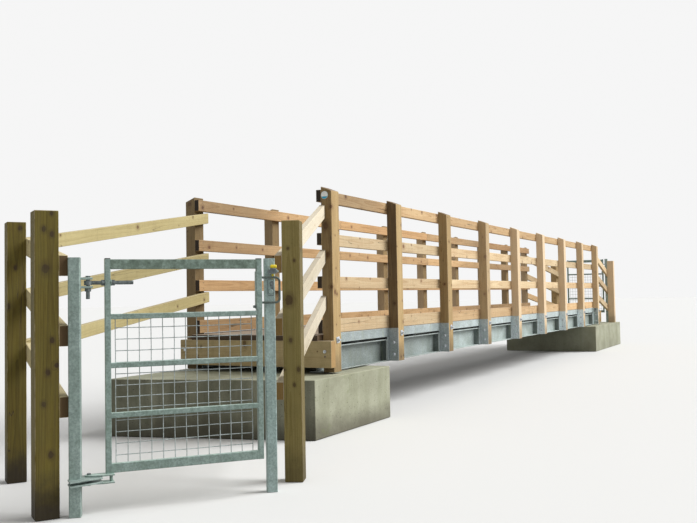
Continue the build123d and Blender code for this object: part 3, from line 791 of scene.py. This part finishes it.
post_spots = [((x + 0.07, y - way.y * 0.0002, EDGE - 0.048), way) for x in POSTS
              for y, way in ((posts_low.y, RIGHT), (left_high.y, LEFT))]
bracket_spots = [((x - 0.0062, y, EDGE - down), NEAR) for x in POSTS[1:]
                 for y in (posts_low.y + 0.047, left_high.y - 0.047)
                 for down in (0.137, 0.249)]
rail_spots = []
for hand, inner, way in (("right", posts_high.y + 0.045, LEFT),
                         ("left", left_low.y - 0.045, RIGHT)):
    for row in ("top_rail", "upper_rail", "lower_rail", "kick_rail"):
        low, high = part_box(f"{hand}_{row}")
        for n, x in enumerate(POSTS):
            butted = n % 2 == 0 and 0 < n < len(POSTS) - 1
            rail_spots += [((x + along, inner, low.z + up * (high.z - low.z)), way)
                           for along in ((0.038, 0.092) if butted else (0.062,))
                           for up in (0.26, 0.75)]
for node, side in (("near_left_wing", -1), ("near_left_gate_side", -1),
                   ("near_right_wing", -1), ("far_right_wing", -1), ("far_left_wing", 1)):
    bm = bmesh.new()
    merged(bm, node + "_rails")
    for found, middle, along, wide, thick in lengths_in(bm):
        if thick.y * side < 0:
            thick.negate()
        corners = sorted(found, key=lambda v: (v.co - middle).dot(thick))[-4:]
        corners = [v.co for v in sorted(corners, key=lambda v: (v.co - middle).dot(along))]
        for a, b, inward in ((*corners[:2], 0.030), (*corners[2:], -0.030)):
            rail_spots += [(a + share * (b - a) + inward * along, thick)
                           for share in (0.25, 0.75)]
    bm.free()
deck_spots = [((deck_low.x + (n + 0.5) * pitch - BOARD_GAP / 2 + aside, y, deck_high.z), UP)
              for n in range(BOARDS) for aside in (-0.035, 0.035)
              for y in (deck_low.y + 0.075, deck_low.y + 0.125 + 0.01 * aside,
                        deck_high.y - 0.08)]
# Each: spots, washer and its thickness, metal, seed, sides, head (radius, top radius,
# height) and stud (radius, length, no more)
for name, *fastener in (
    ("post_bolts", post_spots, 0.05, 0.005, plated, 3, 6, (0.0155, 0.0145, 0.013),
     (0.008, 0.0265, 0.0)),
    ("bracket_bolts", bracket_spots, 0.001, 0.001, plated, 3, 16, (0.016, 0.007, 0.008),
     (0.001, 0.002, 0.0)),
    ("beam_bolts", across_beams(0.042, 0.137), 0.001, 0.003, plated, 4, 6,
     (0.015, 0.014, 0.009), (0.007, 0.013, 0.0)),
    ("beam_small_bolts", across_beams(0.043, 0.178), 0.001, 0.001, nail_steel, 4, 12,
     (0.0085, 0.006, 0.004), (0.004, 0.005, 0.0)),
    ("rail_nails", rail_spots, 0.0005, 0.0002, nail_steel, 7, 10,
     (0.0042, 0.0034, 0.0012), (0.0004, 0.0004, 0.0)),
    ("deck_screws", deck_spots, 0.0005, 0.0002, nail_steel, 8, 8,
     (0.0046, 0.0044, 0.0008), (0.0004, 0.0004, 0.0)),
):
    rides(grown(name, bolts, *fastener), "bridge")
bm = blank()
for x in (POSTS[0] + POST_DEPTH, POSTS[-1] - 0.006):
    for y in (posts_low.y + 0.002, left_high.y - 0.085):
        bar(bm, Matrix(), (x, y, EDGE - 0.300), (x + 0.006, y + 0.083, EDGE - 0.004),
            radius=0.001, steps=1)
rides(shaped(bm, "end_post_plates", bridge_zinc), "bridge")


# Waymark: a round plastic disc nailed to the first right post, white, with a plain blue
# foot and a dulled rim.

disc_plastic, tree, place = finish_of("disc_plastic")
low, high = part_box("waymark_disc")
wear = place.noise(60.0, 4.0, 0.6)
blue = place.parts()[2].step(low.z + 0.0232, low.z + 0.0212)
rim = place.vector("DISTANCE", (low + high) / 2, get=1).step(0.0290, 0.0305)
colour = coats(mixed(blue, (0.96, 0.98, 0.96), (0.02, 0.40, 0.64)),
               (rim, (0.55, 0.66, 0.66)), (wear.step(0.5, 0.8, 0.0, 0.3), (0.45, 0.47, 0.42)))
coated(tree, colour, wear.step(0.3, 0.7, 0.28, 0.5), wear, 0.2, 0.0005)
eased("waymark_disc", "_plastic", 0.0008, disc_plastic)


# Gates: a small mesh gate stands at each end, welded from square steel tube and dipped in
# zinc. It hangs on an adjustable eye bolt above and on plates and a pin below, between a
# hanging post and a latch post of larger tube.

# tops brightens the level faces of the gate tubes: painted sky light
gate_zinc = zinc("gate_zinc", (0.190, 0.260, 0.225), (0.265, 0.345, 0.315),
                 (0.14, 0.17, 0.145), 0.35, 16.0, tops=1.9)
post_zinc = zinc("post_zinc", (0.225, 0.300, 0.268), (0.310, 0.395, 0.365),
                 (0.15, 0.18, 0.16), 0.35, 12.0)
latch_zinc = zinc("latch_zinc", (0.285, 0.375, 0.350), (0.385, 0.490, 0.470),
                  (0.15, 0.18, 0.16), 0.35, 12.0)
top_rail_zinc = zinc("top_rail_zinc", (0.110, 0.155, 0.120), (0.215, 0.285, 0.240),
                     (0.08, 0.10, 0.08), 0.5, 26.0)
loop_zinc = zinc("loop_zinc", (0.050, 0.068, 0.058), (0.095, 0.122, 0.108),
                 (0.08, 0.10, 0.085), 0.35, 20.0)
dark_steel = zinc("dark_steel", (0.085, 0.10, 0.10), (0.15, 0.175, 0.175),
                  (0.06, 0.055, 0.05), 0.4, 30.0, metallic=0.55)
wire_zinc = zinc("wire_zinc", (0.36, 0.41, 0.40), (0.47, 0.52, 0.52), (0.25, 0.27, 0.25),
                 0.3, 20.0)
yellow_plastic, tree, place = finish_of("yellow_plastic")
wear = place.noise(90.0, 4.0, 0.6)
coated(tree, mixed(wear.step(0.45, 0.75), (0.95, 0.74, 0.02), (0.80, 0.60, 0.03)),
       wear.step(0.3, 0.7, 0.30, 0.5), wear, 0.15, 0.0005)
black_plastic, tree, place = finish_of("black_plastic")
wear = place.noise(120.0, 3.0, 0.6)
coated(tree, mixed(wear, (0.012, 0.013, 0.013), (0.045, 0.045, 0.043)),
       wear.step(0.3, 0.7, 0.4, 0.65))


def moved(frame, x=0.0, y=0.0, z=0.0):
    return frame @ Matrix.Translation((x, y, z))


def rod(bm, frame, radius, length, sides=20, easing=0.0, material=0):
    """Round bar along the frame's z, or a nut with six sides."""
    made = bmesh.ops.create_cone(bm, cap_ends=True, segments=sides, radius1=radius,
                                 radius2=radius, depth=length,
                                 matrix=moved(frame, z=length / 2))
    kind, rims = bm.faces.layers.int["kind"], []
    for face in once(f for v in made["verts"] for f in v.link_faces):
        face[kind], face.material_index = int(sides > 6), material
        if len(face.verts) > 4:
            face[kind] = 2
            rims += face.edges
    if easing:
        round_off(bm, rims, easing, 2, material, clamp=False)


def slab(bm, frame, outline, thickness, material=0):
    """Flat plate with that outline, its underside at the frame's z = 0."""
    turn = sum(a[0] * b[1] - b[0] * a[1] for a, b in zip(outline, outline[1:] + outline[:1]))
    outline = outline if turn > 0 else outline[::-1]
    low, high = ([bm.verts.new(frame @ Vector((*p, z))) for p in outline]
                 for z in (0, thickness))
    flats = [bm.faces.new(low[::-1]), bm.faces.new(high)]
    sides = [bm.faces.new(side) for side in zip(low, low[1:] + low[:1],
                                                high[1:] + high[:1], high)]
    for face in flats + sides:
        face.material_index = material
    round_off(bm, [e for f in flats for e in f.edges], 0.0014, 2, material, wear_and_highlight=0.8)


def rounded(points, radius):
    """Outline round a pin at 0, 0 and out to points."""
    cloud = [(radius * cos(pi * n / 16), radius * sin(pi * n / 16)) for n in range(32)]
    cloud += points
    return [cloud[n] for n in convex_hull_2d(cloud)]


def skinned(bm, rings, kinds):
    """Faces from ring to ring of points, each strip with its kind."""
    rings = [[bm.verts.new(point) for point in ring] for ring in rings]
    for a, b, kind in zip(rings, rings[1:] + rings[:1], kinds):
        for corners in zip(a, b, b[1:] + b[:1], a[1:] + a[:1]):
            bm.faces.new(corners)[bm.faces.layers.int["kind"]] = kind
    return rings


mesh, given = group("welded_mesh", "Geometry", Geometry="points", Int="columns rows",
                    Float="width height wire", Material="material")
ring = put(mesh, "GeometryNodeCurvePrimitiveCircle", Resolution=8, Radius=given.wire)
woven = put(mesh, "GeometryNodeJoinGeometry")
rise = given.height / given.rows
for count, offset, start, end in (
    (given.columns, xyz(given.width / (given.columns - 1.0)), None,
     xyz(0.0, 0.0, given.height)),
    (given.rows - 1.0, xyz(0.0, 0.0, rise), xyz(0.0, given.wire * 1.8, rise),
     xyz(given.width)),
):
    line = put(mesh, "GeometryNodeCurvePrimitiveLine", End=end)
    line = put(mesh, "GeometryNodeResampleCurve", Curve=line, Count=25)
    wire = put(mesh, "GeometryNodeCurveToMesh", line, ring, Fill_Caps=True)
    places = put(mesh, "GeometryNodeMeshLine", Count=count, Start_Location=start,
                 Offset=offset)
    join(woven.socket.node.inputs[0],
         put(mesh, "GeometryNodeInstanceOnPoints", places, Instance=wire))
woven = put(mesh, "GeometryNodeRealizeInstances", woven)
bent = put(mesh, "ShaderNodeTexNoise", Scale=4.0, Detail=1.0, get=1)
bent = bent.vector("MULTIPLY_ADD", (0.005, 0.003, 0.006), (-0.0025, -0.0015, -0.003))
woven = put(mesh, "GeometryNodeSetPosition", woven, Offset=bent)
woven = put(mesh, "GeometryNodeSetShadeSmooth", woven)
gives(mesh, geometry=put(mesh, "GeometryNodeSetMaterial", woven, Material=given.material))

STILE, POST, POST_TOP = 0.030, 0.030, 1.320
LEAF_IN, LEAF_BOTTOM, LEAF_TOP = 0.084, 0.200, 1.318
TOP_RAIL, TOP_RAIL_TOP = 0.052, 1.312
BOTTOM_RAIL, MID_RAIL, MID_RAILS = 0.048, 0.028, (0.997, 0.742, 0.482)
PLATE, PLATE_RUN, PLATE_GAP, PLATE_R = 0.008, 0.0005, 0.014, 0.022
HINGE_Z, LOOP_R, LOOP_BEND = 1.1895, 0.0065, 0.022

# Each: what its gate is, which way it opens, its turn, its width, how far out the plates
# of its low hinge reach
for prefix, out_way, angle, width, plate_out in (("near", -1, -39.3, 0.857, 0.112),
                                                 ("far", 1, -90, 0.760, 0.090)):
    joint = next(j for j in frame["joints"] if j["name"].startswith(prefix))
    pin = Vector(joint["pos_m"])
    leaf = Matrix.Translation((pin.x, pin.y, pin.z - HINGE_Z))
    leaf = leaf @ Matrix.Rotation(radians(angle), 4, "Z")
    end = LEAF_IN + width
    gate = prefix + "_gate"

    def span(u0, u1, v0, v1, z0, z1):
        side = sorted((v0 * out_way, v1 * out_way))
        return (u0, side[0], z0), (u1, side[1], z1)

    def outwards(*points):
        return [(u, v * out_way) for u, v in points]

    # Leaf: two stiles with plastic caps, five rails between them
    bm = blank()
    for u in (LEAF_IN, end - STILE):
        bar(bm, leaf, *span(u, u + STILE, -STILE / 2, STILE / 2, LEAF_BOTTOM,
                            LEAF_TOP - 0.005), way=2, radius=0.004)
        bar(bm, leaf, *span(u + 0.0005, u + STILE - 0.0005, -0.0145, 0.0145,
                            LEAF_TOP - 0.0055, LEAF_TOP), radius=0.002, material=2)
    for z, tall, coat in ((TOP_RAIL_TOP - TOP_RAIL, TOP_RAIL, 1 if out_way < 0 else 0),
                          (LEAF_BOTTOM, BOTTOM_RAIL, 0),
                          *((z, MID_RAIL, 0) for z in MID_RAILS)):
        bar(bm, leaf, *span(LEAF_IN + STILE - 0.001, end - STILE + 0.001, -0.0146, 0.0146,
                            z, z + tall), way=0, radius=0.0035, material=coat)
    stands_for(shaped(bm, gate + "_tubes", gate_zinc, top_rail_zinc, black_plastic),
               gate + "_frame")

    # Eye bolt through the hanging stile, with its nuts, and the two plates below
    bm = blank()
    eye = moved(leaf, z=HINGE_Z)
    along = eye @ Matrix.Rotation(pi / 2, 4, "Y")
    rod(bm, moved(along, z=0.014), 0.010, 0.218, 20, 0.0015)
    for start in (LEAF_IN - 0.017, LEAF_IN + STILE + 0.005):
        rod(bm, moved(along, z=start), 0.0175, 0.017, 6, 0.0015)
    for n in range(9):
        rod(bm, moved(along, z=0.150 + 0.0085 * n), 0.0106, 0.0035, 16)
    skinned(bm, [[eye @ Vector((radius * cos(pi * n / 12), radius * sin(pi * n / 12), z))
                  for n in range(24)] for radius, z in (
        (0.0103, -0.012), (0.020, -0.012), (0.020, 0.012), (0.0103, 0.012))], (2, 1, 2, 1))
    rides(shaped(bm, gate + "_eye_bolt", dark_steel), gate)

    bm = blank()
    upper_leaf = LEAF_BOTTOM - PLATE
    upper_post = upper_leaf - PLATE_RUN - PLATE
    lower_post = upper_post - PLATE_GAP - PLATE
    lower_leaf = lower_post - PLATE_RUN - PLATE
    leaf_plate = rounded(outwards((0.066, 0.044), (0.125, 0.040), (0.125, -0.022)), PLATE_R)
    for z in (upper_leaf, lower_leaf):
        slab(bm, moved(leaf, z=z), leaf_plate, PLATE)
    rod(bm, moved(leaf, 0.110, 0.012 * out_way, lower_leaf + 0.001), 0.0085,
        upper_leaf - lower_leaf, 16, 0.0005)
    rod(bm, moved(along, z=LEAF_IN + STILE), 0.017, 0.005, 20, 0.001)
    rides(shaped(bm, gate + "_low_plates", gate_zinc), gate)

    # Mesh of round wires, welded behind the stiles from the third rail down
    first, last = LEAF_IN + 0.056, end - 0.056
    low_z, high_z = LEAF_BOTTOM + BOTTOM_RAIL / 2, MID_RAILS[0] + MID_RAIL / 2
    behind = moved(leaf, first, -out_way * (STILE / 2 + 0.0028), low_z)
    if out_way > 0:
        behind = moved(behind, last - first) @ Matrix.Rotation(pi, 4, "Z")
    stands_for(grown(gate + "_wires", mesh, HERE, 13, 13, last - first, high_z - low_z,
                     0.0023, wire_zinc, at=behind), gate + "_mesh")

    # Handle: a loop of round bar welded to the latch stile, a sleeve, a plug and a clamp
    loop_out = end + 0.108 - LOOP_BEND
    line = [(end - 0.004, 1.210)]
    for z, quarter in ((1.210 - LOOP_BEND, pi / 2), (1.069 + LOOP_BEND, 0.0)):
        line += [(loop_out + LOOP_BEND * cos(quarter - n * pi / 16),
                  z + LOOP_BEND * sin(quarter - n * pi / 16)) for n in range(9)]
    line.append((end - 0.004, 1.069))
    bm = blank()
    rings = []
    for before, (u, z), after in zip(line[:1] + line, line, line[1:] + line[-1:]):
        way = Vector((after[0] - before[0], 0, after[1] - before[1])).normalized()
        aside = LEFT.cross(way)
        rings.append([leaf @ (Vector((u, 0, z)) + LOOP_R * (cos(a) * aside + sin(a) * LEFT))
                      for a in (2 * pi * k / 14 for k in range(14))])
    rings = skinned(bm, rings, [1] * (len(rings) - 1))
    for ring_end in (rings[0][::-1], rings[-1]):
        bm.faces.new(ring_end)[bm.faces.layers.int["kind"]] = 2
    bmesh.ops.recalc_face_normals(bm, faces=bm.faces)
    bar(bm, leaf, *span(end - STILE - 0.004, end + 0.0005, -0.0175, 0.0175, 1.035, 1.244),
        way=2, radius=0.0045, material=2)
    plug = moved(leaf, end - STILE / 2 - 0.001, 0.0172 * out_way, 1.122)
    rod(bm, plug @ Matrix.Rotation(-pi / 2 * out_way, 4, "X"), 0.0125, 0.003, 20, 0.0012, 2)
    clamp = moved(leaf, end - STILE - 0.018, 0, 1.047)
    rod(bm, clamp @ Matrix.Rotation(pi / 2, 4, "Y"), 0.0085, 0.015, 6, 0.001, 1)
    stands_for(shaped(bm, gate + "_loop", loop_zinc, dark_steel, gate_zinc),
               gate + "_handle")

    # Hanging post with the two lugs of the top hinge and the plates of the low one
    turned = Matrix.Rotation(radians(12) * out_way, 4, "Z")
    hung = moved(leaf, -0.069, 0.020 * out_way) @ turned
    bm = blank()
    bar(bm, hung, (-POST, -POST, 0), (POST, POST, POST_TOP), way=2, radius=0.006)
    lug = outwards((-0.039, 0.020), (0.022, 0.020), (0.022, -0.020), (-0.018, -0.020),
                   (-0.036, -0.004))
    for z in (HINGE_Z - 0.0285, HINGE_Z + 0.0165):
        slab(bm, moved(leaf, z=z), lug, 0.012)
    post_plate = outwards((-0.108, 0.030), (-0.103, plate_out), (0.062, 0.060),
                          (0.062, -0.017), (-0.034, -0.047))
    for z in (upper_post, lower_post):
        slab(bm, moved(leaf, z=z), rounded(post_plate, PLATE_R), PLATE)
    stands_for(shaped(bm, gate + "_hanging_tube", post_zinc), gate + "_hanging_post")

    bm = blank()
    for z, radius, length, sides, easing in (
        (1.105, 0.010, 0.101, 20, 0.0015), (HINGE_Z - 0.0455, 0.0175, 0.017, 6, 0.0015),
        (HINGE_Z + 0.0285, 0.013, 0.008, 6, 0.001),
        (lower_leaf - 0.008, 0.010, LEAF_BOTTOM + 0.016 - lower_leaf, 20, 0.0015),
    ):
        rod(bm, moved(leaf, z=z), radius, length, sides, easing)
    rides(shaped(bm, gate + "_pins", dark_steel), "bridge")

    # Latch post, its cover plate and striker, and the latch with its yellow pull
    latch = moved(leaf, end + 0.066, -0.058 * out_way) @ turned
    bm = blank()
    bar(bm, latch, (-POST, -POST, 0), (POST, POST, POST_TOP), way=2, radius=0.006)
    stands_for(shaped(bm, gate + "_latch_tube", latch_zinc), gate + "_latch_post")

    bm = blank()
    upright = moved(latch, y=POST * out_way) @ Matrix.Rotation(pi / 2, 4, "X")
    if out_way > 0:
        upright = upright @ Matrix.Scale(-1, 4, (0, 0, 1))
    cover = rounded([(-0.019, -0.071), (0.020, -0.071)], 0.0175)
    slab(bm, moved(upright, 0.0005, 1.301), cover, 0.005)
    case = [(-0.010, 1.231), (0.034, 1.231), (0.041, 1.239), (0.041, 1.247),
            (0.031, 1.262), (-0.006, 1.262), (-0.010, 1.257)]
    slab(bm, moved(upright, z=0.005), case, 0.028, 1)
    nose = [(0.030, 1.236), (0.049, 1.241), (0.050, 1.247), (0.030, 1.256)]
    slab(bm, moved(upright, z=0.010), nose, 0.014)
    for x, z, radius in ((-0.006, 1.258, 0.005), (0.036, 1.252, 0.004)):
        rod(bm, moved(upright, x, z, 0.033), radius, 0.002, 12, 0.0008)
    bar(bm, latch, *span(-0.013, 0.022, 0.030, 0.033, 1.106, 1.199), way=1, material=1)
    bar(bm, latch, *span(-0.010, 0.019, 0.032, 0.0345, 1.109, 1.196), way=1, radius=0.002)
    lever = rounded([(0.005, -0.043), (0.015, -0.043)], 0.009)
    slab(bm, moved(upright, 0.007, 1.173, 0.0045), lever, 0.006, 1)
    rod(bm, moved(upright, 0.010, 1.178, 0.0045), 0.0118, 0.013, 20, 0.002, 1)
    rod(bm, moved(upright, 0.004, 1.130, 0.0045), 0.0155, 0.009, 24, 0.004)
    stands_for(shaped(bm, gate + "_latch_plates", latch_zinc, dark_steel), gate + "_latch")

    bm = blank()
    bar(bm, latch, *span(0.001, 0.038, 0.040, 0.062, 1.2625, 1.282), radius=0.007)
    tongue = [(0.010, 1.2305), (0.024, 1.2305), (0.017, 1.201), (0.008, 1.201)]
    slab(bm, moved(upright, z=0.010), tongue, 0.007)
    stands_for(shaped(bm, gate + "_latch_pull", yellow_plastic), gate + "_latch_grip")


# Studio: a plain pale floor, the soft light of a grey sky from behind and above, with a
# weak fill from the front, and the camera at the photograph's place.

floor_finish = bpy.data.materials.new("studio_floor")
floor_finish.use_nodes = True
path = put(floor_finish.node_tree, "ShaderNodeLightPath")
seen = path.math("MAXIMUM", path["Is Glossy Ray"])
coated(floor_finish.node_tree, mixed(seen, (0.26, 0.26, 0.25), (0.76, 0.76, 0.75)), 0.9)
bm = blank()
bmesh.ops.create_circle(bm, cap_ends=True, segments=96, radius=140.0,
                        matrix=Matrix.Translation((0, 0, -0.002)))
shaped(bm, "studio_floor", floor_finish)

world = bpy.data.worlds.new("studio")
bpy.context.scene.world = world
world.use_nodes = True
path = put(world.node_tree, "ShaderNodeLightPath")
seen = path.math("MAXIMUM", path["Is Glossy Ray"].math("MAXIMUM", path["Is Transmission Ray"]))
back = world.node_tree.nodes["Background"]
join(back.inputs["Color"], mixed(seen, (1.0, 1.0, 0.99), (0.92, 0.92, 0.92)))
join(back.inputs["Strength"], seen.step(0.0, 1.0, 0.37, 1.0))

for name, direction, strength, soft in (
    ("sky_side", (-0.48, 0.64, -0.60), 3.9, 40.0),
    ("fill_front", (0.85, 0.30, -0.40), 0.25, 60.0),
):
    lamp = bpy.data.lights.new(name, "SUN")
    lamp.energy = strength
    lamp.angle = radians(soft)
    lit = bpy.data.objects.new(name, lamp)
    lit.rotation_euler = Vector(direction).to_track_quat("-Z", "Y").to_euler()
    bpy.context.scene.collection.objects.link(lit)

lens = bpy.data.cameras.new("photo_camera")
lens.sensor_width = 36.0
lens.lens = 862 / 697 * 36.0
lens.clip_end = 500.0
camera = bpy.data.objects.new("photo_camera", lens)
bpy.context.scene.collection.objects.link(camera)
right = Vector((0.45966208, -0.88791386, -0.01788184))
up = Vector((-0.02754215, -0.03437785, 0.99902933))
ahead = Vector((0.88766672, 0.45872339, 0.04025725))
turn = Matrix((right, up, -ahead)).transposed().to_4x4()
camera.matrix_world = Matrix.Translation((-10.89808, -3.77959, 1.09575)) @ turn
bpy.context.scene.camera = camera

bpy.context.scene.view_settings.view_transform = "Standard"
